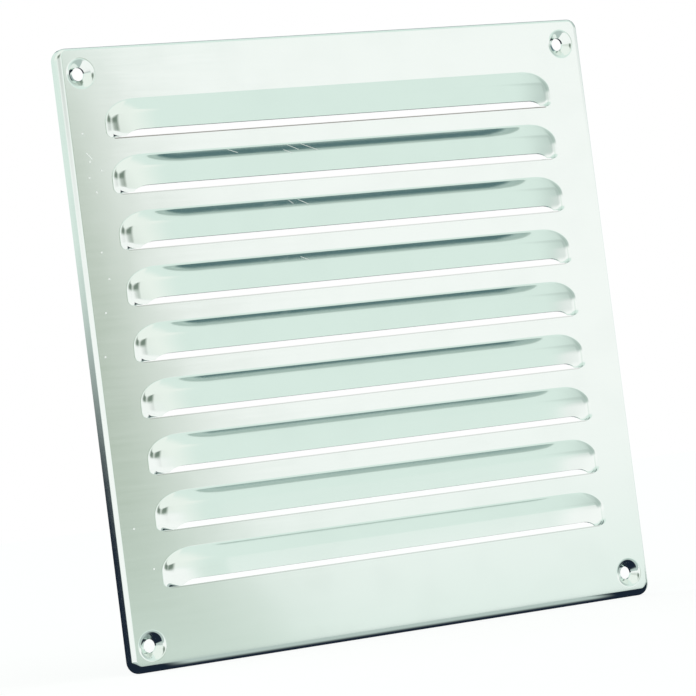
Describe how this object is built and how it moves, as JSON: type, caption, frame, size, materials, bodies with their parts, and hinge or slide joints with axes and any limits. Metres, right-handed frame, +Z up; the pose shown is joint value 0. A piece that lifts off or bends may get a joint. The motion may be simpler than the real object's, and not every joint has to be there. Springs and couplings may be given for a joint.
{
  "type": "louvred vent grille",
  "caption": "Square wall vent pressed from one sheet of aluminium, with a turned rim, rows of hooded louvres that open downwards and dimpled screw holes in the corners.",
  "frame": {"origin": "The middle of the plate, on the wall plane that the rim and the screw holes seat on.", "axes": "+X to the right seen from the front, +Z up, +Y into the wall. The louvred face looks along -Y."},
  "size_m": [0.229, 0.0082, 0.229],
  "materials": {
    "aluminium_sheet": "bright rolled aluminium sheet with a soft satin gloss and fine handling scratches"
  },
  "bodies": {
    "root": {"louvre_plate": "aluminium_sheet"}
  },
  "joints": []
}
